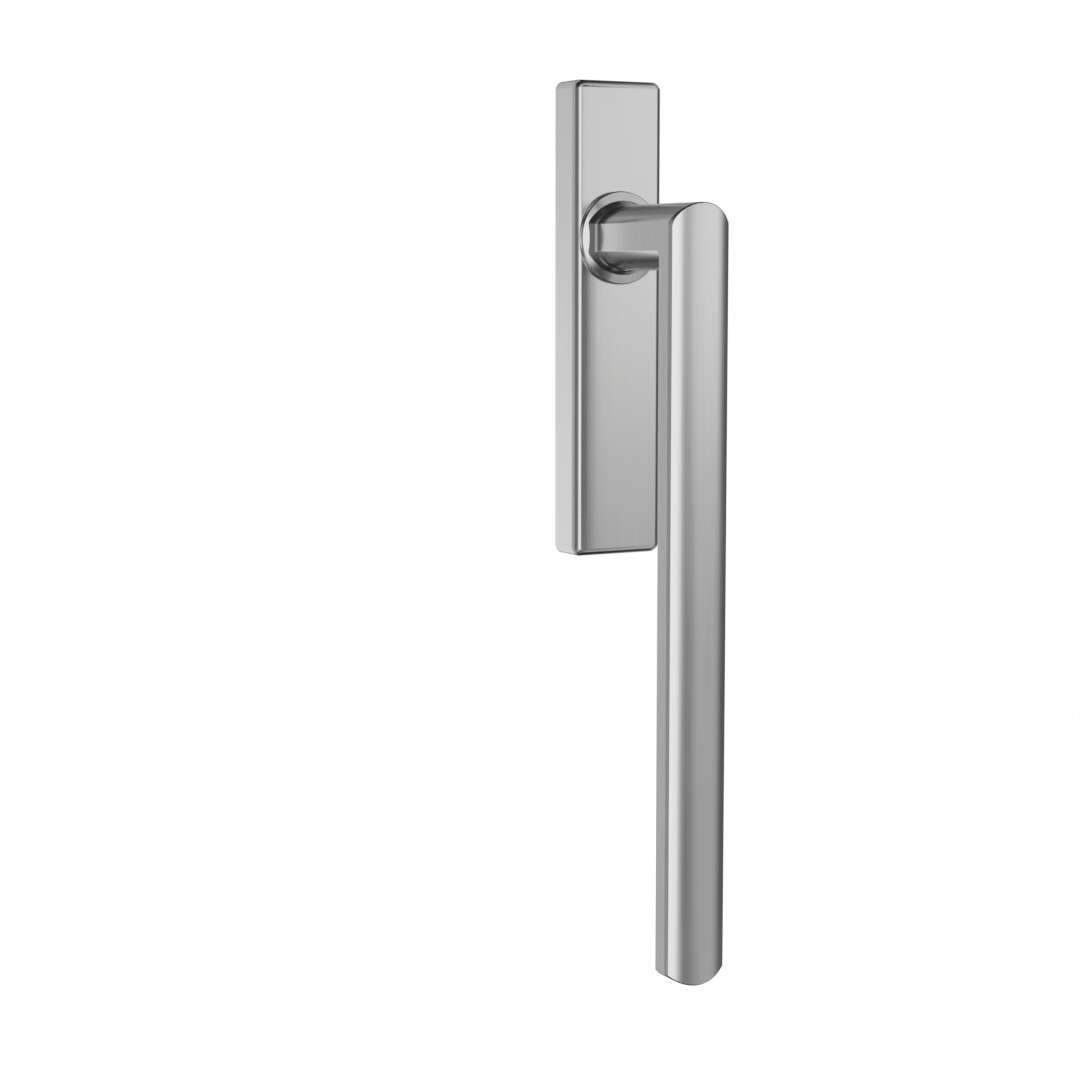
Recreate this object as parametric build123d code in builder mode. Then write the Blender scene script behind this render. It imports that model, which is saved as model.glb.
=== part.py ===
from build123d import *
from math import atan2, degrees, radians, tan
import os

# Lift-and-slide door handle: a long lever that hangs from a box-shaped cover plate.
# Millimetres. The origin is where the spindle's axis meets the door face. Y points into the door,
# the lever stands out towards -Y and hangs straight down, and Z is up.
# A depth is a distance in front of the door face, so depth d lies at y = -d.

# Cover plate
cover_width = 38.0
cover_height = 180.0
cover_depth = 15.7
cover_above_axis = 59.0
cover_wall = 1.6
cover_corner_radius = 3.4
cover_edge_radius = 2.8
ledge_width = 12.0
ledge_thickness = 1.2
ledge_reach = 0.9

# Lever: a neck with two flat sides, and a grip that is flush with those flats
neck_width = 25.6
neck_height = 24.5
neck_flat = 10.2
neck_edge_radius = 0.5
grip_standoff = 49.8
grip_thickness = 10.4
grip_drop = 276.0
grip_end_rise = 5.2
grip_front_radius = 27.0
grip_bevel_side = 0.43
grip_bevel_top = 0.4
grip_bevel_slope = 47.5
grip_end_chamfer = 0.4
grip_root_radius = 1.0
grip_back_radius = 0.6

# Collar: a shallow cone around the neck, with a steep wall and a bevelled lip against the neck
collar_reach = 3.77
collar_rim = 1.95
collar_rim_chamfer = 0.35
collar_cone_rise = 1.8
collar_wall = 2.8
collar_wall_foot = 2.48
collar_lip = 0.66
collar_lip_rise = 0.45
collar_lip_edge = 0.06
collar_gap = 0.25

# Spindle and the turned spigot of the lever that holds it
spindle_size = 10.0
spindle_reach = 22.0
spindle_insertion = 27.4
spindle_chamfer = 0.8
socket_clearance = 0.08
spigot_diameter = 18.0
spigot_across_flats = 15.0
grub_screw_diameter = 6.0
grub_screw_length = 6.0
grub_screw_depth = 25.0
grub_screw_key = 3.0
grub_screw_key_depth = 2.5

# Bearing
bush_wall = 1.7
bush_flange_radius = 14.0
bush_flange = 1.2
running_clearance = 0.05

# Neck guide, a plastic ring that is snapped into the cover's hole
guide_wall = 1.0
guide_flange_reach = 1.4
guide_flange = 0.7
guide_bead_reach = 0.35
guide_bead = 0.6
neck_clearance = 0.2

# Detent: a square cam between two leaf springs
cam_across_flats = 20.0
cam_corner_radius = 12.4
cam_thickness = 3.5
leaf_thickness = 0.7
leaf_width = 3.1
leaf_length = 33.6
leaf_slot_width = 1.4

# Axial stack on the spigot, from the door side
spigot_inset = 0.4
ring_land = 0.95
ring_thickness = 1.2
ring_groove_depth = 0.5
ring_width = 2.4
ring_lug_radius = 2.1
ring_lug_hole_radius = 1.0
ring_lug_angle = 20.0
shim_thickness = 0.5
shim_radius = 11.6
disc_spring_height = 0.8
disc_spring_thickness = 0.4
disc_spring_radius = 12.0

# Base plate and the plate that closes its detent chamber
base_floor = 3.0
base_corner_radius = 2.0
base_rim_wall = 2.0
base_rim_height = 5.0
base_side_gap = 0.35
base_end_gap = 2.4
base_rib_wall = 1.8
base_rib_pitch = 22.0
chamber_width = 28.4
chamber_height = 27.2
chamber_wall = 5.4
chamber_roof = 1.4
bearing_boss_wall = 4.2
plate_width = 30.4
plate_thickness = 0.8
plate_recess = 0.9
plate_screw_radius = 1.1
plate_screw_length = 5.0
plate_screw_inset = 2.3

# Fixing to the door
screw_spacing = 80.0
screw_radius = 3.0
screw_shank_radius = 2.68
screw_reach = 18.0
screw_head_radius = 5.0
screw_head = 3.6
screw_key = 4.0
screw_key_depth = 2.4
washer_radius = 6.2
washer_thickness = 1.2
sleeve_radius = 6.0
sleeve_wall = 2.8
sleeve_reach = 4.0
sleeve_insertion = 4.0
screw_seat = 6.0
screw_boss_radius = 8.6

# Spring clips that hold the cover on the base
clip_width = 14.0
clip_thickness = 0.6
clip_leg = 6.0
clip_bend_radius = 0.9
clip_peg_radius = 1.2
clip_peg_height = 1.8
clip_peg_inset = 3.6
clip_window_margin = 0.6

# Clearances between pieces that seat in each other
seat_clearance = 0.02
hole_clearance = 0.1

# Values worked out from the sizes above
cover_centre = cover_above_axis - cover_height / 2
cover_inner_front = cover_depth - cover_wall
cover_inner_top = cover_above_axis - cover_wall
cover_inner_bottom = cover_above_axis - cover_height + cover_wall
half_neck = neck_width / 2
neck_reach = (half_neck**2 + (neck_flat / 2) ** 2) ** 0.5
spigot_radius = spigot_diameter / 2
ring_depth = spigot_inset + ring_land
shim_depth = ring_depth + ring_thickness
cam_depth = shim_depth + shim_thickness
cam_front = cam_depth + cam_thickness
chamber_depth = cam_front + disc_spring_height
block_depth = chamber_depth + chamber_roof
bush_bore = spigot_radius + running_clearance
bush_radius = bush_bore + bush_wall
guide_bore = neck_reach + neck_clearance
guide_radius = guide_bore + guide_wall
guide_front = cover_depth + guide_flange
bush_seat = cover_inner_front - guide_bead - 2 * running_clearance - bush_flange
neck_shoulder = bush_seat + bush_flange + running_clearance
collar_radius = neck_reach + collar_reach
collar_back = cover_depth + collar_gap
collar_rim_front = collar_back + collar_rim
collar_lip_back = collar_rim_front + collar_wall
grip_back = cover_depth + grip_standoff
grip_front = grip_back + grip_thickness
grip_corner = grip_end_rise - grip_drop
crown_drop = grip_front_radius - (grip_front_radius**2 - half_neck**2) ** 0.5
bevel_half = half_neck - (crown_drop + grip_bevel_side) * tan(radians(grip_bevel_slope))
bevel_centre = neck_height / 2 - grip_bevel_top - bevel_half
socket_size = spindle_size + 2 * socket_clearance
base_width = cover_width - 2 * (cover_wall + base_side_gap)
base_top = cover_inner_top - base_end_gap
base_bottom = cover_inner_bottom + base_end_gap
base_height = base_top - base_bottom
base_centre = (base_top + base_bottom) / 2
block_height = leaf_length + 2 * chamber_wall
plate_height = block_height - 2
plate_screw_x = plate_width / 2 - plate_screw_inset
plate_screw_z = plate_height / 2 - plate_screw_inset
screw_points = [(0, screw_spacing / 2), (0, -screw_spacing / 2)]
leaf_centre = cam_across_flats / 2 + seat_clearance + leaf_thickness / 2
clip_middle = base_floor + clip_thickness / 2
clip_foot = (base_end_gap - ledge_reach - clip_thickness) / 2


def neck_section(depth, grow=0.0):
    """The neck's outline: arcs above and below, flats at the sides. The collar takes it grown and rounded."""
    top, flat = neck_height / 2, neck_flat / 2
    with BuildSketch(Plane.XZ.offset(depth)) as section:
        with BuildLine():
            ThreePointArc((-half_neck, flat), (0, top), (half_neck, flat))
            Line((half_neck, flat), (half_neck, -flat))
            ThreePointArc((half_neck, -flat), (0, -top), (-half_neck, -flat))
            Line((-half_neck, -flat), (-half_neck, flat))
        make_face()
        if grow > 0:
            fillet(section.vertices(), neck_edge_radius)
            offset(amount=grow)
    return section.sketch


def lathe_section(points):
    """A half section given as (radius, depth) points, to be turned about the spindle's axis."""
    with BuildSketch(Plane.XY) as section:
        with BuildLine():
            Polyline(*[(radius, -depth) for radius, depth in points], close=True)
        make_face()
    return section.sketch


# Lever: grip, neck and spigot are one casting
with BuildPart() as lever:
    with BuildSketch(Plane.XZ.offset(grip_back)):
        with BuildLine():
            ThreePointArc((-half_neck, neck_flat / 2), (0, neck_height / 2), (half_neck, neck_flat / 2))
            Line((half_neck, neck_flat / 2), (half_neck, grip_corner))
            ThreePointArc((half_neck, grip_corner), (0, -grip_drop), (-half_neck, grip_corner))
            Line((-half_neck, grip_corner), (-half_neck, neck_flat / 2))
        make_face()
    extrude(amount=grip_thickness)
    with BuildSketch(Plane.XY.offset(-grip_drop)):
        with Locations((0, grip_front_radius - grip_front)):
            Circle(grip_front_radius)
    extrude(amount=grip_drop + neck_height, mode=Mode.INTERSECT)
    with BuildSketch(Plane.XZ.offset(grip_front)):
        with BuildLine():
            bevel_top = bevel_centre + bevel_half
            ThreePointArc((-bevel_half, bevel_centre), (0, bevel_top), (bevel_half, bevel_centre))
            Line((bevel_half, bevel_centre), (bevel_half, -2 * grip_drop))
            Line((bevel_half, -2 * grip_drop), (-bevel_half, -2 * grip_drop))
            Line((-bevel_half, -2 * grip_drop), (-bevel_half, bevel_centre))
        make_face()
    extrude(amount=-grip_thickness, taper=-grip_bevel_slope, mode=Mode.INTERSECT)
    crown = lever.faces().sort_by(Axis.Y)[0]
    chamfer(crown.edges().sort_by(Axis.Z)[0], grip_end_chamfer)
    extrude(neck_section(neck_shoulder), amount=grip_back - neck_shoulder)
    grip_root = lever.edges().filter_by_position(Axis.Y, -grip_back, -grip_back)
    fillet(grip_root.filter_by_position(Axis.Z, -neck_height, 0), grip_root_radius)
    grip_back_edges = lever.edges().filter_by_position(Axis.Y, -grip_back, -grip_back)
    fillet(grip_back_edges.filter_by_position(Axis.Z, -2 * grip_drop, -neck_height), grip_back_radius)
    neck_edges = lever.edges().filter_by(Axis.Y)
    fillet(neck_edges.filter_by_position(Axis.Z, 0, neck_height), neck_edge_radius)
    with BuildSketch(Plane.XZ.offset(spigot_inset)):
        Circle(spigot_radius)
    extrude(amount=neck_shoulder - spigot_inset)
    with BuildSketch(Plane.XZ.offset(spigot_inset)):
        Rectangle(spigot_diameter, spigot_diameter)
        Rectangle(spigot_across_flats, spigot_diameter, mode=Mode.SUBTRACT)
    extrude(amount=cam_front - spigot_inset, mode=Mode.SUBTRACT)
    with BuildSketch(Plane.XZ.offset(ring_depth)):
        Circle(spigot_radius)
        Circle(spigot_radius - ring_groove_depth, mode=Mode.SUBTRACT)
    extrude(amount=ring_thickness, mode=Mode.SUBTRACT)
    with BuildSketch(Plane.XZ.offset(spigot_inset)):
        Rectangle(socket_size, socket_size)
    extrude(amount=spindle_insertion + socket_clearance - spigot_inset, mode=Mode.SUBTRACT)
    with BuildSketch(Plane.XY.offset(-neck_height)):
        with Locations((0, -grub_screw_depth)):
            Circle(grub_screw_diameter / 2)
    extrude(amount=neck_height, mode=Mode.SUBTRACT)
lever.part.label = "lever"

# Collar ring: a conical disc, a wall that follows the neck's outline and a bevelled lip
with BuildPart() as collar_ring:
    revolve(
        lathe_section(
            [
                (0, collar_back),
                (collar_radius, collar_back),
                (collar_radius, collar_rim_front - collar_rim_chamfer),
                (collar_radius - collar_rim_chamfer, collar_rim_front),
                (neck_height / 2, collar_rim_front + collar_cone_rise),
                (0, collar_rim_front + collar_cone_rise),
            ]
        ),
        axis=Axis.Y,
    )
    wall_slope = degrees(atan2(collar_wall_foot - collar_lip, collar_wall))
    extrude(neck_section(collar_rim_front, collar_wall_foot), amount=collar_wall, taper=wall_slope)
    lip_slope = degrees(atan2(collar_lip - collar_lip_edge, collar_lip_rise))
    extrude(neck_section(collar_lip_back, collar_lip), amount=collar_lip_rise, taper=lip_slope)
    extrude(
        neck_section(collar_back, seat_clearance),
        amount=collar_rim + collar_wall + collar_lip_rise,
        mode=Mode.SUBTRACT,
    )
    with BuildSketch(Plane.XZ.offset(collar_back)):
        Circle(guide_radius + guide_flange_reach + neck_clearance)
    extrude(amount=guide_flange, mode=Mode.SUBTRACT)
collar_ring.part.label = "collar_ring"

# Cover plate: a hollow box, open to the door, with a ledge inside each end for its clip
with BuildPart() as cover_plate:
    with BuildSketch(Plane.XZ):
        with Locations((0, cover_centre)):
            RectangleRounded(cover_width, cover_height, cover_corner_radius)
    extrude(amount=cover_depth)
    fillet(cover_plate.faces().sort_by(Axis.Y)[0].edges(), cover_edge_radius)
    with BuildSketch(Plane.XZ):
        with Locations((0, cover_centre)):
            RectangleRounded(
                cover_width - 2 * cover_wall,
                cover_height - 2 * cover_wall,
                cover_corner_radius - cover_wall,
            )
    extrude(amount=cover_inner_front, mode=Mode.SUBTRACT)
    with BuildSketch(Plane.XZ.offset(base_floor + clip_thickness + ledge_thickness)):
        for wall_middle in (cover_inner_top - ledge_reach / 2, cover_inner_bottom + ledge_reach / 2):
            with Locations((0, wall_middle)):
                Rectangle(ledge_width, ledge_reach)
    extrude(amount=ledge_thickness)
    with BuildSketch(Plane.XZ.offset(cover_inner_front)):
        Circle(guide_radius + seat_clearance)
    extrude(amount=cover_wall, mode=Mode.SUBTRACT)
cover_plate.part.label = "cover_plate"

# Neck guide: a flange under the collar, a sleeve in the cover's hole and a bead that snaps behind it
with BuildPart() as neck_guide:
    bead_back = cover_inner_front - guide_bead
    revolve(
        lathe_section(
            [
                (guide_bore, bead_back),
                (guide_radius + guide_bead_reach, bead_back),
                (guide_radius + guide_bead_reach, cover_inner_front),
                (guide_radius, cover_inner_front),
                (guide_radius, cover_depth),
                (guide_radius + guide_flange_reach, cover_depth),
                (guide_radius + guide_flange_reach, guide_front),
                (guide_bore, guide_front),
            ]
        ),
        axis=Axis.Y,
    )
neck_guide.part.label = "neck_guide"

# Base plate: a die casting with a rim, ribs, screw bosses, the detent chamber and the bearing boss
with BuildPart() as base_plate:
    with BuildSketch(Plane.XZ):
        with Locations((0, base_centre)):
            RectangleRounded(base_width, base_height, base_corner_radius)
    extrude(amount=base_floor)
    with BuildSketch(Plane.XZ.offset(base_floor)):
        with Locations((0, base_centre)):
            RectangleRounded(base_width, base_height, base_corner_radius)
            Rectangle(base_width - 2 * base_rim_wall, base_height - 2 * base_rim_wall, mode=Mode.SUBTRACT)
        with Locations((0, base_top), (0, base_bottom)):
            window_height = 4 * base_rim_wall
            Rectangle(clip_width + 2 * clip_window_margin, window_height, mode=Mode.SUBTRACT)
    extrude(amount=base_rim_height)
    with BuildSketch(Plane.XZ.offset(base_floor)):
        rib_z = -screw_spacing / 2 - base_rib_pitch
        while rib_z > base_bottom + 2 * clip_leg:
            with Locations((0, rib_z)):
                Rectangle(base_width, base_rib_wall)
            rib_z -= base_rib_pitch
    extrude(amount=base_rim_height)
    with BuildSketch(Plane.XZ):
        Rectangle(base_width, block_height)
    extrude(amount=block_depth)
    with BuildSketch(Plane.XZ.offset(block_depth)):
        Circle(bush_radius + bearing_boss_wall)
    extrude(amount=bush_seat - block_depth)
    with BuildSketch(Plane.XZ.offset(base_floor)):
        with Locations(*screw_points):
            Circle(screw_boss_radius)
    extrude(amount=screw_seat - base_floor)
    with BuildSketch(Plane.XZ.offset(base_floor)):
        with Locations((0, base_top - clip_peg_inset), (0, base_bottom + clip_peg_inset)):
            Circle(clip_peg_radius)
    extrude(amount=clip_peg_height)
    with BuildSketch(Plane.XZ):
        Circle(bush_radius + seat_clearance)
        with Locations(*screw_points):
            Circle(screw_radius + hole_clearance)
    extrude(amount=bush_seat, mode=Mode.SUBTRACT)
    with BuildSketch(Plane.XZ):
        with Locations(*screw_points):
            Circle(sleeve_radius)
    extrude(amount=sleeve_insertion, mode=Mode.SUBTRACT)
    with BuildSketch(Plane.XZ):
        Rectangle(plate_width + 2 * hole_clearance, plate_height + 2 * hole_clearance)
    extrude(amount=plate_recess, mode=Mode.SUBTRACT)
    with BuildSketch(Plane.XZ):
        Rectangle(chamber_width, chamber_height)
        with Locations((leaf_centre, 0), (-leaf_centre, 0)):
            Rectangle(leaf_slot_width, leaf_length + 2 * hole_clearance)
    extrude(amount=chamber_depth, mode=Mode.SUBTRACT)
    with BuildSketch(Plane.XZ):
        with GridLocations(2 * plate_screw_x, 2 * plate_screw_z, 2, 2):
            Circle(plate_screw_radius)
    extrude(amount=plate_screw_length + hole_clearance, mode=Mode.SUBTRACT)
base_plate.part.label = "base_plate"

# Bearing bush: a flanged plastic sleeve in the bearing boss
with BuildPart() as bearing_bush:
    revolve(
        lathe_section(
            [
                (bush_bore, chamber_depth),
                (bush_radius, chamber_depth),
                (bush_radius, bush_seat),
                (bush_flange_radius, bush_seat),
                (bush_flange_radius, bush_seat + bush_flange),
                (bush_bore, bush_seat + bush_flange),
            ]
        ),
        axis=Axis.Y,
    )
bearing_bush.part.label = "bearing_bush"

# Detent cam: a square with rounded corners, keyed to the spigot's flats
with BuildPart() as detent_cam:
    with BuildSketch(Plane.XZ.offset(cam_depth)):
        Circle(cam_corner_radius)
        Rectangle(cam_across_flats, cam_across_flats, mode=Mode.INTERSECT)
    extrude(amount=cam_thickness)
    with BuildSketch(Plane.XZ.offset(cam_depth)):
        Circle(spigot_radius + seat_clearance)
        Rectangle(spigot_across_flats + 2 * seat_clearance, 2 * spigot_diameter, mode=Mode.INTERSECT)
    extrude(amount=cam_thickness, mode=Mode.SUBTRACT)
detent_cam.part.label = "detent_cam"

# Leaf springs: one lies against each side of the cam, with its ends in slots of the chamber
leaf_springs = {}
for side, sign in (("left", -1), ("right", 1)):
    with BuildPart() as leaf_spring:
        with BuildSketch(Plane.XZ.offset(cam_depth + (cam_thickness - leaf_width) / 2)):
            with Locations((sign * leaf_centre, 0)):
                Rectangle(leaf_thickness, leaf_length)
        extrude(amount=leaf_width)
    leaf_spring.part.label = f"detent_spring_{side}"
    leaf_springs[side] = leaf_spring

# Disc spring: takes up the play between the cam and the bearing boss
with BuildPart() as disc_spring:
    rise = disc_spring_height - disc_spring_thickness - seat_clearance
    inner = spigot_radius + hole_clearance
    revolve(
        lathe_section(
            [
                (inner, cam_front + rise),
                (disc_spring_radius, cam_front),
                (disc_spring_radius, cam_front + disc_spring_thickness),
                (inner, cam_front + rise + disc_spring_thickness),
            ]
        ),
        axis=Axis.Y,
    )
disc_spring.part.label = "disc_spring"

# Shim washer between the cam and the retaining ring
with BuildPart() as shim_washer:
    with BuildSketch(Plane.XZ.offset(shim_depth)):
        Circle(shim_radius)
        Circle(spigot_radius + hole_clearance, mode=Mode.SUBTRACT)
    extrude(amount=shim_thickness)
shim_washer.part.label = "shim_washer"

# Retaining ring: an open ring with two drilled lugs, in the groove at the spigot's end
with BuildPart() as retaining_ring:
    ring_inner = spigot_radius - ring_groove_depth + seat_clearance
    with BuildSketch(Plane.XZ.offset(ring_depth)):
        Circle(ring_inner + ring_width)
        lug_place = ring_inner + ring_width - ring_lug_radius / 2
        with PolarLocations(lug_place, 2, 90 - ring_lug_angle, 2 * ring_lug_angle, endpoint=True):
            Circle(ring_lug_radius)
        Circle(ring_inner, mode=Mode.SUBTRACT)
        with PolarLocations(lug_place, 2, 90 - ring_lug_angle, 2 * ring_lug_angle, endpoint=True):
            Circle(ring_lug_hole_radius, mode=Mode.SUBTRACT)
        with Locations((0, lug_place)):
            Rectangle(ring_lug_radius, 3 * ring_width, mode=Mode.SUBTRACT)
    extrude(amount=ring_thickness)
retaining_ring.part.label = "retaining_ring"

# Chamber plate: closes the detent chamber behind, level with the door face
with BuildPart() as chamber_plate:
    plate_back = plate_recess - plate_thickness
    with BuildSketch(Plane.XZ.offset(plate_back)):
        Rectangle(plate_width, plate_height)
        Circle(spigot_radius + 3 * hole_clearance, mode=Mode.SUBTRACT)
    extrude(amount=plate_thickness)
    with BuildSketch(Plane.XZ.offset(plate_back)):
        with GridLocations(2 * plate_screw_x, 2 * plate_screw_z, 2, 2):
            Circle(plate_screw_radius + plate_thickness + seat_clearance)
    extrude(amount=plate_thickness, taper=45, mode=Mode.SUBTRACT)
chamber_plate.part.label = "chamber_plate"

# Chamber screws: four small countersunk screws, flush with the chamber plate
with BuildPart() as chamber_screws:
    with BuildSketch(Plane.XZ.offset(plate_back)):
        with GridLocations(2 * plate_screw_x, 2 * plate_screw_z, 2, 2):
            Circle(plate_screw_radius + plate_thickness)
    extrude(amount=plate_thickness - seat_clearance, taper=45)
    with BuildSketch(Plane.XZ.offset(plate_back)):
        with GridLocations(2 * plate_screw_x, 2 * plate_screw_z, 2, 2):
            Circle(plate_screw_radius - seat_clearance)
    extrude(amount=plate_screw_length - plate_back)
chamber_screws.part.label = "chamber_screws"

# Spindle: a square bar that goes into the gear in the door
with BuildPart() as spindle:
    with BuildSketch(Plane.XZ.offset(-spindle_reach)):
        Rectangle(spindle_size, spindle_size)
    extrude(amount=spindle_reach + spindle_insertion)
    chamfer(spindle.faces().sort_by(Axis.Y)[-1].edges(), spindle_chamfer)
spindle.part.label = "spindle"

# Grub screw: clamps the spindle from the underside of the neck
with BuildPart() as spindle_grub_screw:
    with BuildSketch(Plane.XY.offset(-spindle_size / 2)):
        with Locations((0, -grub_screw_depth)):
            Circle(grub_screw_diameter / 2 - seat_clearance)
    extrude(amount=-grub_screw_length)
    with BuildSketch(Plane.XY.offset(-spindle_size / 2 - grub_screw_length)):
        with Locations((0, -grub_screw_depth)):
            RegularPolygon(grub_screw_key / 2, 6, major_radius=False)
    extrude(amount=grub_screw_key_depth, mode=Mode.SUBTRACT)
spindle_grub_screw.part.label = "spindle_grub_screw"

# Support sleeves: turned sleeves around the screws that locate the base in the door
with BuildPart() as support_sleeves:
    with BuildSketch(Plane.XZ.offset(-sleeve_reach)):
        with Locations(*screw_points):
            Circle(sleeve_radius - seat_clearance)
            Circle(sleeve_radius - sleeve_wall, mode=Mode.SUBTRACT)
    extrude(amount=sleeve_reach + sleeve_insertion)
support_sleeves.part.label = "support_sleeves"

# Washers under the fixing screws
with BuildPart() as fixing_washers:
    with BuildSketch(Plane.XZ.offset(screw_seat)):
        with Locations(*screw_points):
            Circle(washer_radius)
            Circle(screw_radius + hole_clearance, mode=Mode.SUBTRACT)
    extrude(amount=washer_thickness)
fixing_washers.part.label = "fixing_washers"

# Fixing screws: socket heads inside the cover, threaded ends that stand out of the door face
with BuildPart() as fixing_screws:
    head_back = screw_seat + washer_thickness
    with BuildSketch(Plane.XZ.offset(head_back)):
        with Locations(*screw_points):
            Circle(screw_head_radius)
    extrude(amount=screw_head)
    with BuildSketch(Plane.XZ.offset(head_back + screw_head)):
        with Locations(*screw_points):
            RegularPolygon(screw_key / 2, 6, major_radius=False)
    extrude(amount=-screw_key_depth, mode=Mode.SUBTRACT)
    with BuildSketch(Plane.XZ.offset(-sleeve_reach)):
        with Locations(*screw_points):
            Circle(screw_shank_radius)
    extrude(amount=sleeve_reach + head_back)
    with BuildSketch(Plane.XZ.offset(-screw_reach)):
        with Locations(*screw_points):
            Circle(screw_radius)
    extrude(amount=screw_reach - sleeve_reach)
fixing_screws.part.label = "fixing_screws"

# Cover clips: bent spring strips at the ends of the base, hooked over the cover's ledges
cover_clips = {}
for place, base_end, outward in (("upper", base_top, 1), ("lower", base_bottom, -1)):
    with BuildPart() as cover_clip:
        foot = base_end + outward * clip_foot
        crest = base_end + outward * (base_end_gap - clip_thickness)
        ledge_front = base_floor + clip_thickness + 2 * ledge_thickness
        with BuildSketch(Plane.YZ.offset(-clip_width / 2)):
            with BuildLine():
                FilletPolyline(
                    (-clip_middle, base_end - outward * clip_leg),
                    (-clip_middle, foot),
                    (-ledge_front, foot),
                    (-ledge_front - 2 * ledge_thickness, crest),
                    (-ledge_front - 4 * ledge_thickness, foot),
                    radius=clip_bend_radius,
                )
            trace(line_width=clip_thickness)
        extrude(amount=clip_width)
        with BuildSketch(Plane.XZ.offset(base_floor)):
            with Locations((0, base_end - outward * clip_peg_inset)):
                Circle(clip_peg_radius + hole_clearance)
        extrude(amount=clip_thickness, mode=Mode.SUBTRACT)
    cover_clip.part.label = f"cover_clip_{place}"
    cover_clips[place] = cover_clip

pieces = [
    lever,
    collar_ring,
    cover_plate,
    neck_guide,
    base_plate,
    bearing_bush,
    detent_cam,
    leaf_springs["left"],
    leaf_springs["right"],
    disc_spring,
    shim_washer,
    retaining_ring,
    chamber_plate,
    chamber_screws,
    spindle,
    spindle_grub_screw,
    support_sleeves,
    fixing_washers,
    fixing_screws,
    cover_clips["upper"],
    cover_clips["lower"],
]
os.makedirs("parts", exist_ok=True)
for piece in pieces:
    export_step(piece.part, f"parts/{piece.part.label}.step")
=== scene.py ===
import math

import bmesh
import bpy
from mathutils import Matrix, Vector


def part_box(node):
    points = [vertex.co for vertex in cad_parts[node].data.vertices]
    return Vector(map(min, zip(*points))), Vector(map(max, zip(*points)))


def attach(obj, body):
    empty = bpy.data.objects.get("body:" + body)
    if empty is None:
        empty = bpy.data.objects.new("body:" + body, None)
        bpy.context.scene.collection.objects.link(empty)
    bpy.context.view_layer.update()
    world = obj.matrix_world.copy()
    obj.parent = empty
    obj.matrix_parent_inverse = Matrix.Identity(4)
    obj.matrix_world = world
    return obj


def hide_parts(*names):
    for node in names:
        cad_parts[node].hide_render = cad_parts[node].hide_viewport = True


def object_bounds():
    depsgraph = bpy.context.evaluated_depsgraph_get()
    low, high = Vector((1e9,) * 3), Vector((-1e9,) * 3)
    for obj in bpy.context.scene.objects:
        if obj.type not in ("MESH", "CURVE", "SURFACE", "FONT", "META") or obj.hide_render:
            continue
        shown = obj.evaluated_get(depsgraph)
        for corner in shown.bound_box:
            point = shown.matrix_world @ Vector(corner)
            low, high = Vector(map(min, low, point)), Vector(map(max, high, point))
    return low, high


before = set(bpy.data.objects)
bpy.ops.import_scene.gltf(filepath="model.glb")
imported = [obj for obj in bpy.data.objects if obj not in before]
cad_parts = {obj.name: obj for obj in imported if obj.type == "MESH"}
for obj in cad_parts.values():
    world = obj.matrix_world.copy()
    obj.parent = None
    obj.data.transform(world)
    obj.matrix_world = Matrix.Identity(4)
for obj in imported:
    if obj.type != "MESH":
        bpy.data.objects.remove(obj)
cad_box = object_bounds()
scene = bpy.context.scene
scene.view_settings.view_transform = "Standard"

MM = 0.001
DEGREES = 180 / math.pi


# Node helpers

def feed(tree, value, socket):
    """Gives a socket its value: another socket is linked, a number, vector or colour is set."""
    if isinstance(value, (int, float, tuple)):
        socket.default_value = value
    else:
        tree.links.new(value, socket)


def maths(tree, operation, first, second=None, clamp=False):
    """The result of one Math node."""
    node = tree.nodes.new("ShaderNodeMath")
    node.operation = operation
    node.use_clamp = clamp
    feed(tree, first, node.inputs[0])
    if second is not None:
        feed(tree, second, node.inputs[1])
    return node.outputs[0]


def spread(tree, value, source, target, curve="LINEAR"):
    """Maps a value from one range to another and holds it there."""
    node = tree.nodes.new("ShaderNodeMapRange")
    node.interpolation_type = curve
    feed(tree, value, node.inputs["Value"])
    for label, (low, high) in (("From", source), ("To", target)):
        feed(tree, low, node.inputs[label + " Min"])
        feed(tree, high, node.inputs[label + " Max"])
    return node.outputs["Result"]


def noise(tree, vector, scale=1.0, detail=2.0, roughness=0.5):
    """A noise with as many features per metre as the scale says."""
    node = tree.nodes.new("ShaderNodeTexNoise")
    feed(tree, vector, node.inputs["Vector"])
    feed(tree, scale, node.inputs["Scale"])
    feed(tree, detail, node.inputs["Detail"])
    feed(tree, roughness, node.inputs["Roughness"])
    return node.outputs["Fac"]


def streaks(tree, vector, fineness, detail=2.0, roughness=0.5):
    """A noise with its own number of features per metre along each axis."""
    node = tree.nodes.new("ShaderNodeMapping")
    feed(tree, vector, node.inputs["Vector"])
    feed(tree, fineness, node.inputs["Scale"])
    return noise(tree, node.outputs["Vector"], detail=detail, roughness=roughness)


def toned(tree, colour, factor):
    """A colour made lighter or darker by a factor."""
    node = tree.nodes.new("ShaderNodeVectorMath")
    node.operation = "SCALE"
    feed(tree, colour, node.inputs[0])
    feed(tree, factor, node.inputs["Scale"])
    return node.outputs[0]


def object_place(tree):
    """The position on the piece, in metres."""
    return tree.nodes.new("ShaderNodeTexCoord").outputs["Object"]


def axes(tree, vector):
    """The three parts of a vector."""
    node = tree.nodes.new("ShaderNodeSeparateXYZ")
    feed(tree, vector, node.inputs[0])
    return node.outputs


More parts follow.
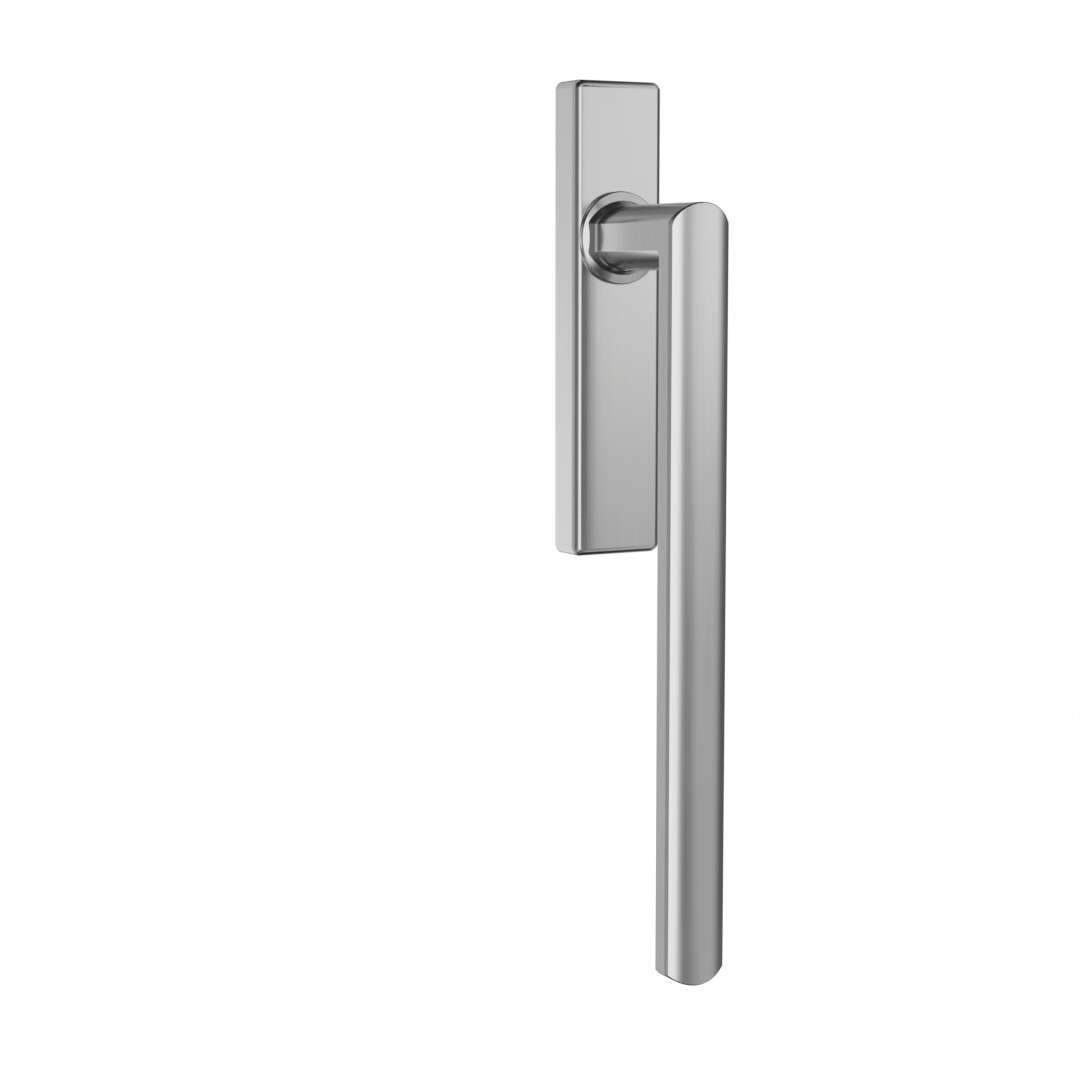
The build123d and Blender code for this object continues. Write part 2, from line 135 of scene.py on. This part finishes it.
def new_finish(name, own_input):
    """A node group for a finish, with one input of its own, as (tree, its inputs, its outputs)."""
    tree = bpy.data.node_groups.new(name, "ShaderNodeTree")
    inputs = (("Position", "Vector"), ("Colour", "Color"), ("Roughness", "Float"), (own_input, "Float"))
    outputs = (("Colour", "Color"), ("Roughness", "Float"), ("Height", "Float"))
    for way, sockets in (("INPUT", inputs), ("OUTPUT", outputs)):
        for label, kind in sockets:
            tree.interface.new_socket(label, in_out=way, socket_type="NodeSocket" + kind)
    entry = tree.nodes.new("NodeGroupInput")
    leave = tree.nodes.new("NodeGroupOutput")
    return tree, entry.outputs, leave.inputs


# Shared finishes

NOISE_RANGE = (0.3, 0.7)
NOISE_MIDDLE = 0.5

# Brushing, from the finest layer up: features per metre across the lines, both ways, and along them
HAIR = (6500, 6500, 30)
STROKE = (1900, 1900, 11)
SWEEP = (650, 650, 5)
CLOUD = (45, 45, 18)

# How the layers add up: shares of the lines, their effect on tone and roughness, and depth
HAIR_SHARE = 0.75
STROKE_SHARE = 0.25
LINE_TONE = 0.55
LINE_ROUGHNESS = 0.35
CLOUD_TONE = (0.985, 1.015)
CLOUD_ROUGHNESS = (-0.02, 0.02)
SWEEP_DEPTH = 11.0

# Casting: flow marks per metre, and how grain and flow change the tone and the roughness
FLOW = 90.0
GRAIN_TONE = (0.93, 1.05)
FLOW_TONE = (0.92, 1.06)
FLOW_ROUGHNESS = (-0.06, 0.06)


def make_brushed_lines():
    """Fine lines along the third axis of the position, as left by a brushing belt."""
    tree, given, out = new_finish("brushed_lines", "Contrast")
    place = given["Position"]
    hair = streaks(tree, place, HAIR, detail=3.0, roughness=0.6)
    stroke = streaks(tree, place, STROKE, roughness=0.55)
    sweep = streaks(tree, place, SWEEP)
    cloud = streaks(tree, place, CLOUD)
    hair_part = maths(tree, "MULTIPLY", hair, HAIR_SHARE)
    lines = maths(tree, "ADD", hair_part, maths(tree, "MULTIPLY", stroke, STROKE_SHARE))
    swing = maths(tree, "MULTIPLY", maths(tree, "SUBTRACT", lines, NOISE_MIDDLE), given["Contrast"])
    cloud_tone = spread(tree, cloud, NOISE_RANGE, CLOUD_TONE)
    tone = maths(tree, "ADD", maths(tree, "MULTIPLY", swing, LINE_TONE), cloud_tone)
    feed(tree, toned(tree, given["Colour"], tone), out["Colour"])
    rough = maths(tree, "ADD", given["Roughness"], maths(tree, "MULTIPLY", swing, LINE_ROUGHNESS))
    cloud_rough = spread(tree, cloud, NOISE_RANGE, CLOUD_ROUGHNESS)
    feed(tree, maths(tree, "ADD", rough, cloud_rough, clamp=True), out["Roughness"])
    feed(tree, maths(tree, "ADD", lines, maths(tree, "MULTIPLY", sweep, SWEEP_DEPTH)), out["Height"])
    return tree


def make_cast_skin():
    """The grainy skin of a die casting or a moulding."""
    tree, given, out = new_finish("cast_skin", "Grain")
    grain = noise(tree, given["Position"], given["Grain"], detail=3.0)
    flow = noise(tree, given["Position"], FLOW, detail=3.0, roughness=0.6)
    grain_tone = spread(tree, grain, NOISE_RANGE, GRAIN_TONE)
    tone = maths(tree, "MULTIPLY", grain_tone, spread(tree, flow, NOISE_RANGE, FLOW_TONE))
    feed(tree, toned(tree, given["Colour"], tone), out["Colour"])
    flow_rough = spread(tree, flow, NOISE_RANGE, FLOW_ROUGHNESS)
    feed(tree, maths(tree, "ADD", given["Roughness"], flow_rough, clamp=True), out["Roughness"])
    feed(tree, grain, out["Height"])
    return tree


brushed_lines = make_brushed_lines()
cast_skin = make_cast_skin()


# Materials

TURNING_RADIUS = 15 * MM
BRUSHED_RELIEF = 0.25
BRUSHED_DEPTH = 0.004 * MM
CAST_RELIEF = 0.4
CAST_DEPTH = 0.02 * MM


def along(tree, direction):
    """The position on the piece, in metres, turned so that its third axis runs along the brushing."""
    place = object_place(tree)
    if direction == "upright":
        return place
    x, y, z = axes(tree, place)
    if direction == "outward":
        order = (x, z, y)
    else:
        squares = [maths(tree, "MULTIPLY", side, side) for side in (x, z)]
        reach = maths(tree, "SQRT", maths(tree, "ADD", *squares))
        turn = maths(tree, "ARCTAN2", x, z)
        order = (reach, y, maths(tree, "MULTIPLY", turn, TURNING_RADIUS))
    turned = tree.nodes.new("ShaderNodeCombineXYZ")
    for slot, value in enumerate(order):
        feed(tree, value, turned.inputs[slot])
    return turned.outputs[0]


def finished(name, group, direction, metallic, relief, depth, **values):
    """A material whose colour, roughness and relief come from a shared finish with the given values."""
    material = bpy.data.materials.new(name)
    material.use_nodes = True
    tree = material.node_tree
    shader = tree.nodes["Principled BSDF"].inputs
    shader["Metallic"].default_value = metallic
    finish = tree.nodes.new("ShaderNodeGroup")
    finish.node_tree = group
    feed(tree, along(tree, direction), finish.inputs["Position"])
    for label, value in values.items():
        feed(tree, value, finish.inputs[label.capitalize()])
    bump = tree.nodes.new("ShaderNodeBump")
    bump.inputs["Strength"].default_value = relief
    bump.inputs["Distance"].default_value = depth
    feed(tree, finish.outputs["Height"], bump.inputs["Height"])
    feed(tree, finish.outputs["Colour"], shader["Base Color"])
    feed(tree, finish.outputs["Roughness"], shader["Roughness"])
    feed(tree, bump.outputs[0], shader["Normal"])
    return material


def metal(name, colour, roughness, contrast, direction="upright"):
    """Brushed or turned metal."""
    return finished(name, brushed_lines, direction, metallic=1.0, relief=BRUSHED_RELIEF, depth=BRUSHED_DEPTH,
                    colour=(*colour, 1), roughness=roughness, contrast=contrast)


def grained(name, colour, roughness, metallic=0.0, grain=1500.0):
    """Cast metal or moulded plastic, with its grain in features per metre."""
    return finished(name, cast_skin, "upright", metallic=metallic, relief=CAST_RELIEF, depth=CAST_DEPTH,
                    colour=(*colour, 1), roughness=roughness, grain=grain)


def crowned(material, half_width, bend, edge_reach, edge_bend):
    """Bends the shine of a pressed face across its width: a slight crown, and edges that roll off more."""
    tree = material.node_tree
    lines = next(node for node in tree.nodes if node.type == "BUMP")
    side = maths(tree, "ABSOLUTE", axes(tree, object_place(tree))["X"])
    edge = maths(tree, "MAXIMUM", maths(tree, "SUBTRACT", side, half_width - edge_reach), 0.0)
    fall = []
    for reach, radius in ((side, bend), (edge, edge_bend)):
        fall.append(maths(tree, "DIVIDE", maths(tree, "MULTIPLY", reach, reach), 2 * radius))
    roll = tree.nodes.new("ShaderNodeBump")
    roll.invert = True
    roll.inputs["Strength"].default_value = 1.0
    roll.inputs["Distance"].default_value = 1.0
    feed(tree, maths(tree, "ADD", *fall), roll.inputs["Height"])
    feed(tree, roll.outputs[0], lines.inputs["Normal"])
    return material


def dress(material, *nodes):
    """Gives CAD nodes their material."""
    for name in nodes:
        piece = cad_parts[name]
        piece.data.materials.clear()
        piece.data.materials.append(material)


# Steel that shows

STEEL = (0.60, 0.60, 0.595)
LEVER_STEEL = (0.62, 0.62, 0.615)
COVER_BEND = 400 * MM
COVER_EDGE_REACH = 5.5 * MM
COVER_EDGE_BEND = 28 * MM

lever_steel = metal("satin_steel_lever", LEVER_STEEL, roughness=0.19, contrast=0.5)
dress(lever_steel, "lever")
cover_steel = metal("satin_steel_cover", STEEL, roughness=0.18, contrast=0.5)
cover_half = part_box("cover_plate")[1].x
dress(crowned(cover_steel, cover_half, COVER_BEND, COVER_EDGE_REACH, COVER_EDGE_BEND), "cover_plate")
collar_steel = metal("turned_steel_collar", STEEL, roughness=0.17, contrast=0.5, direction="around")
dress(collar_steel, "collar_ring")


# Pieces behind the cover

ZINC = (0.62, 0.63, 0.64)
PLATE_STEEL = (0.60, 0.61, 0.62)
SPRING_STEEL = (0.20, 0.21, 0.24)
CAM_STEEL = (0.34, 0.34, 0.35)
BLACK_STEEL = (0.05, 0.05, 0.055)
CAST_ZINC = (0.46, 0.46, 0.47)
BLACK_PLASTIC = (0.025, 0.025, 0.027)
IVORY_PLASTIC = (0.72, 0.70, 0.64)

plated_steel = metal("zinc_plated_steel", ZINC, roughness=0.32, contrast=0.6, direction="outward")
dress(plated_steel, "spindle", "support_sleeves", "fixing_washers")
plate_steel = metal("plated_plate", PLATE_STEEL, roughness=0.36, contrast=0.8)
dress(plate_steel, "chamber_plate", "chamber_screws", "shim_washer")
spring_steel = metal("blue_spring_steel", SPRING_STEEL, roughness=0.34, contrast=0.8)
dress(spring_steel, "detent_spring_left", "detent_spring_right", "disc_spring", "retaining_ring",
      "cover_clip_upper", "cover_clip_lower")
cam_steel = metal("hardened_cam_steel", CAM_STEEL, roughness=0.30, contrast=0.8, direction="outward")
dress(cam_steel, "detent_cam")
black_steel = metal("blackened_screw", BLACK_STEEL, roughness=0.42, contrast=0.5, direction="outward")
dress(black_steel, "spindle_grub_screw")
dress(grained("cast_base", CAST_ZINC, roughness=0.48, metallic=1.0, grain=1400.0), "base_plate")
dress(grained("black_guide_plastic", BLACK_PLASTIC, roughness=0.45), "neck_guide")
dress(grained("ivory_bearing_plastic", IVORY_PLASTIC, roughness=0.42), "bearing_bush")


# Fixing screws, in millimetres

CREST_RADIUS = 3.0
ROOT_RADIUS = 2.46
PITCH = 1.0
RINGS_PER_PITCH = 10
FLANK_SLOPE = 2.9
ROOT_FLAT = 0.3
TIP_RADIUS = 1.9
TIP_LENGTH = 0.5
SHANK_RADIUS = 2.68
SHANK_END = 4.0
HEAD_RADIUS = 5.0
HEAD_HEIGHT = 3.6
HEAD_CHAMFER = 0.45
HEAD_BACK_CHAMFER = 0.2
SOCKET_WIDTH = 4.0
SOCKET_DEPTH = 2.4
SOCKET_CHAMFER = 0.25
SCREW_COLUMNS = 48
SHARP_ANGLE = math.radians(32)


def hexagon(angle):
    """How far the wall of the hexagon socket is from the axis, at an angle around it."""
    return SOCKET_WIDTH / 2 / math.cos(angle % (math.pi / 3) - math.pi / 6)


def screw_rings(head_front, tip):
    """A screw from its tip to the bottom of its socket, as rings of (place, radius at an angle)."""
    rings = [(tip, lambda angle: TIP_RADIUS)]
    step = PITCH / RINGS_PER_PITCH
    place = tip - TIP_LENGTH
    while place > SHANK_END + step:
        def ridge(angle, place=place):
            turn = (place / PITCH + angle / math.tau) % 1.0
            profile = min(1.0, max(0.0, abs(turn - 0.5) * FLANK_SLOPE - ROOT_FLAT))
            fade = min(1.0, (tip - place) / PITCH, (place - SHANK_END) / PITCH)
            thread = ROOT_RADIUS + (CREST_RADIUS - ROOT_RADIUS) * profile
            return SHANK_RADIUS + (thread - SHANK_RADIUS) * fade
        rings.append((place, ridge))
        place -= step
    head_back = head_front + HEAD_HEIGHT
    for place, radius in (
        (SHANK_END, SHANK_RADIUS),
        (head_back, SHANK_RADIUS),
        (head_back, HEAD_RADIUS - HEAD_BACK_CHAMFER),
        (head_back - HEAD_BACK_CHAMFER, HEAD_RADIUS),
        (head_front + HEAD_CHAMFER, HEAD_RADIUS),
        (head_front, HEAD_RADIUS - HEAD_CHAMFER),
    ):
        rings.append((place, lambda angle, radius=radius: radius))
    rings.append((head_front, lambda angle: hexagon(angle) + SOCKET_CHAMFER))
    rings.append((head_front + SOCKET_CHAMFER, hexagon))
    rings.append((head_front + SOCKET_DEPTH, hexagon))
    return rings


def fixing_screws():
    """The two fixing screws with their threads and hexagon sockets, in place of the plain ones."""
    low, high = (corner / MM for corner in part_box("fixing_screws"))
    mesh = bpy.data.meshes.new("threaded_screws")
    build = bmesh.new()
    for height in (low.z + HEAD_RADIUS, high.z - HEAD_RADIUS):
        rows = []
        for place, radius in screw_rings(low.y, high.y):
            row = []
            for column in range(SCREW_COLUMNS):
                angle = math.tau * column / SCREW_COLUMNS
                reach = radius(angle)
                spot = Vector((reach * math.cos(angle), place, height + reach * math.sin(angle)))
                row.append(build.verts.new(spot * MM))
            rows.append(row)
        for first, second in zip(rows, rows[1:]):
            for column in range(SCREW_COLUMNS):
                after = (column + 1) % SCREW_COLUMNS
                build.faces.new((first[column], first[after], second[after], second[column]))
        build.faces.new(rows[0])
        build.faces.new(rows[-1])
    bmesh.ops.recalc_face_normals(build, faces=build.faces)
    build.to_mesh(mesh)
    build.free()
    mesh.shade_smooth()
    mesh.set_sharp_from_angle(angle=SHARP_ANGLE)
    mesh.materials.append(plated_steel)
    screws = bpy.data.objects.new("threaded_screws", mesh)
    scene.collection.objects.link(screws)
    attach(screws, "base")
    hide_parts("fixing_screws")


fixing_screws()


# Studio helpers

def bare_tree(owner):
    """The empty node tree of a material or world."""
    owner.use_nodes = True
    owner.node_tree.nodes.clear()
    return owner.node_tree


def shiny_ray(tree, ray):
    """One for a ray that a shiny or clear surface sends on."""
    return maths(tree, "MAXIMUM", ray["Is Glossy Ray"], ray["Is Transmission Ray"])


def glow(tree, strength):
    """White light of a given strength."""
    node = tree.nodes.new("ShaderNodeEmission")
    feed(tree, strength, node.inputs["Strength"])
    return node.outputs[0]


def sheet(name, corners, material):
    """A flat sheet with four corners."""
    mesh = bpy.data.meshes.new(name)
    mesh.from_pydata(corners, [], [(0, 1, 2, 3)])
    mesh.materials.append(material)
    piece = bpy.data.objects.new(name, mesh)
    scene.collection.objects.link(piece)
    return piece


def window(tree, value, edges, soft):
    """One between two edges, falling smoothly to nothing over the soft margin around each."""
    low, high = edges
    after_low = spread(tree, value, (low - soft, low + soft), (0.0, 1.0), "SMOOTHSTEP")
    before_high = spread(tree, value, (high + soft, high - soft), (0.0, 1.0), "SMOOTHSTEP")
    return maths(tree, "MULTIPLY", after_low, before_high)


# The room that the steel reflects. Each row is a panel: degrees to the left of straight out from the
# door, degrees above the horizon, the soft margins of both, and the brightness that it adds
ROOM = [
    ((-400, 400), (-52, 24), (1, 10), 0.09),    # dim wall all round
    ((48, 262), (-60, 10), (15, 10), 0.10),     # dim wall at the left and behind
    ((2, 40), (-27, 17), (5, 7), 1.18),         # main light
    ((40, 54), (-27, 17), (7, 7), 0.35),        # fading left side of the main light
    ((-69, -8), (-4, 8.5), (10, 4), 0.93),      # level strip at the right
    ((-68, -33), (-22, -4), (9, 5), 0.42),      # under the strip
    ((-33, -18), (-19, -4), (9, 3), 0.42),      # under the strip, nearer the middle
    ((-63, -33), (-50, -22), (6, 5), 0.50),     # low at the right
    ((-33, -18), (-50, -32), (6, 3), 0.50),     # low at the right, nearer the middle
    ((-18, 2), (-34, -4), (6, 5), 0.12),        # dim, right of the main light, low
    ((-8, 2), (-4, 12), (6, 5), 0.30),          # dim, right of the main light, level
    ((-80, -29), (8.5, 46), (2, 4), 0.74),      # high at the right
    ((-29, -5), (30, 46), (2, 2.5), 0.74),      # high, right of the middle
    ((-5, 12), (14, 30), (4, 3), 0.68),         # over the main light, right
    ((4, 32), (27, 42), (8, 4), 0.74),          # over the main light, left
    ((-100, -40), (46, 58), (10, 6), 0.35),     # ceiling at the right
    ((125, 190), (-40, 40), (12, 8), 0.55),     # behind
    ((130, 182), (-40, 0), (12, 6), 0.28),      # behind, lower half
    ((196, 258), (-45, 40), (14, 10), 0.22),    # behind at the right
    ((42, 73), (-50, -25), (6, 5), 0.45),       # low at the left
    ((-134, -84), (-48, -19), (8, 3), 0.55),    # low at the far right
    ((-134, -92), (14, 45), (8, 5), 0.40),      # high at the far right
    ((-36, 45), (-72, -49), (10, 5), 0.28),     # ground in front
    ((120, 192), (47, 80), (10, 6), 0.50),      # ceiling behind
]
ROOM_DARK = 0.03
EVEN_LIGHT = 0.75

# The middle of the room's angles, which run from 180 degrees less to 180 degrees more
ROOM_MIDDLE = 50.0


def studio_world():
    """White for the camera, panels in a dark room for reflections, even light for everything else."""
    world = bpy.data.worlds.new("studio")
    scene.world = world
    tree = bare_tree(world)
    turned = tree.nodes.new("ShaderNodeVectorRotate")
    turned.rotation_type = "Z_AXIS"
    turned.inputs["Angle"].default_value = math.radians(ROOM_MIDDLE)
    feed(tree, tree.nodes.new("ShaderNodeTexCoord").outputs["Generated"], turned.inputs["Vector"])
    x, y, z = axes(tree, turned.outputs[0])
    left = maths(tree, "MULTIPLY", x, -1.0)
    front = maths(tree, "MULTIPLY", y, -1.0)
    turn = maths(tree, "MULTIPLY", maths(tree, "ARCTAN2", left, front), DEGREES)
    around = maths(tree, "ADD", turn, ROOM_MIDDLE)
    rise = maths(tree, "MULTIPLY", maths(tree, "ARCSINE", z), DEGREES)
    mirror = ROOM_DARK
    for turns, rises, (turn_soft, rise_soft), level in ROOM:
        across = window(tree, around, turns, turn_soft)
        upward = window(tree, rise, rises, rise_soft)
        panel = maths(tree, "MULTIPLY", across, upward)
        mirror = maths(tree, "ADD", maths(tree, "MULTIPLY", panel, level), mirror)
    ray = tree.nodes.new("ShaderNodeLightPath").outputs
    shiny = shiny_ray(tree, ray)
    even = maths(tree, "MULTIPLY", maths(tree, "SUBTRACT", 1.0, shiny), EVEN_LIGHT)
    seen = maths(tree, "ADD", maths(tree, "MULTIPLY", mirror, shiny), even)
    back = tree.nodes.new("ShaderNodeBackground")
    back.inputs["Color"].default_value = (1, 1, 1, 1)
    feed(tree, maths(tree, "MAXIMUM", seen, ray["Is Camera Ray"]), back.inputs["Strength"])
    feed(tree, back.outputs[0], tree.nodes.new("ShaderNodeOutputWorld").inputs[0])


# Floor, in metres: half its side, how far it is under the handle, and where its shaded part fades out
FLOOR_HALF = 8.0
FLOOR_DROP = 0.055
FLOOR_FADE = (0.25, 0.9)
FLOOR_GREY = (0.55, 0.55, 0.55, 1)
FLOOR_LIFT = 0.6


def pale_floor():
    """A pale floor under the handle. It is white for the camera except where the handle shades it."""
    material = bpy.data.materials.new("pale_floor")
    tree = bare_tree(material)
    ray = tree.nodes.new("ShaderNodeLightPath").outputs
    seen = maths(tree, "MAXIMUM", ray["Is Camera Ray"], shiny_ray(tree, ray))
    matt = tree.nodes.new("ShaderNodeBsdfDiffuse")
    matt.inputs["Color"].default_value = FLOOR_GREY
    near = tree.nodes.new("ShaderNodeAddShader")
    feed(tree, matt.outputs[0], near.inputs[0])
    feed(tree, glow(tree, maths(tree, "MULTIPLY", seen, FLOOR_LIFT)), near.inputs[1])
    reach = tree.nodes.new("ShaderNodeVectorMath")
    reach.operation = "LENGTH"
    feed(tree, object_place(tree), reach.inputs[0])
    both = tree.nodes.new("ShaderNodeMixShader")
    feed(tree, spread(tree, reach.outputs["Value"], FLOOR_FADE, (0.0, 1.0)), both.inputs[0])
    feed(tree, near.outputs[0], both.inputs[1])
    feed(tree, glow(tree, seen), both.inputs[2])
    feed(tree, both.outputs[0], tree.nodes.new("ShaderNodeOutputMaterial").inputs[0])
    half = FLOOR_HALF
    corners = [(-half, -half, 0), (half, -half, 0), (half, half, 0), (-half, half, 0)]
    floor = sheet("floor", corners, material)
    floor.location.z = cad_box[0].z - FLOOR_DROP
    floor.visible_glossy = False


# Grey card, in metres: its edges, how far it is behind the door face, what it adds to the handle's height
CARD_RIGHT = -0.0523
CARD_LEFT = -0.28
CARD_BEHIND = 0.03
CARD_SPARE = 0.1
CARD_LEVEL = 0.58


def grey_card():
    """A card at the left that only reflections see. It greys the sides of the neck and the grip."""
    material = bpy.data.materials.new("grey_card")
    tree = bare_tree(material)
    feed(tree, glow(tree, CARD_LEVEL), tree.nodes.new("ShaderNodeOutputMaterial").inputs[0])
    low = cad_box[0].z - CARD_SPARE
    high = cad_box[1].z + CARD_SPARE
    rim = ((CARD_RIGHT, low), (CARD_RIGHT, high), (CARD_LEFT, high), (CARD_LEFT, low))
    card = sheet("grey_card", [(x, CARD_BEHIND, z) for x, z in rim], material)
    card.visible_camera = False
    card.visible_diffuse = False
    card.visible_shadow = False


# Overhead lamp, in metres and watts
LAMP_PLACE = (-0.3, -0.5, 1.6)
LAMP_AIM = (0, 0, -0.1)
LAMP_SIDE = 1.6
LAMP_POWER = 12.0


def overhead_lamp():
    """A square soft box over the handle. Reflections don't see it."""
    lamp = bpy.data.lights.new("overhead", "AREA")
    lamp.shape = "SQUARE"
    lamp.size = LAMP_SIDE
    lamp.energy = LAMP_POWER
    box = bpy.data.objects.new("overhead", lamp)
    box.location = LAMP_PLACE
    box.visible_glossy = False
    box.rotation_euler = (Vector(LAMP_AIM) - Vector(LAMP_PLACE)).to_track_quat("-Z", "Y").to_euler()
    scene.collection.objects.link(box)


# Camera: focal length and picture width in pixels, sensor in millimetres, places in metres, turns in degrees
FOCAL_PIXELS = 2441.0
PICTURE_PIXELS = 1080
SENSOR = 36.0
NEAREST = 0.01
CAMERA_PLACE = (-0.4731, -0.8226, -0.0113)
CAMERA_DOWN = 6.36
CAMERA_TO_RIGHT = 28.54


def photograph_camera():
    """The photograph's viewpoint: left of the handle, level with its neck, looking a little down."""
    lens = bpy.data.cameras.new("camera")
    lens.sensor_width = SENSOR
    lens.lens = FOCAL_PIXELS / PICTURE_PIXELS * SENSOR
    lens.clip_start = NEAREST
    camera = bpy.data.objects.new("camera", lens)
    camera.location = CAMERA_PLACE
    camera.rotation_euler = (math.radians(90 - CAMERA_DOWN), 0, math.radians(-CAMERA_TO_RIGHT))
    scene.collection.objects.link(camera)
    scene.camera = camera


studio_world()
pale_floor()
grey_card()
overhead_lamp()
photograph_camera()
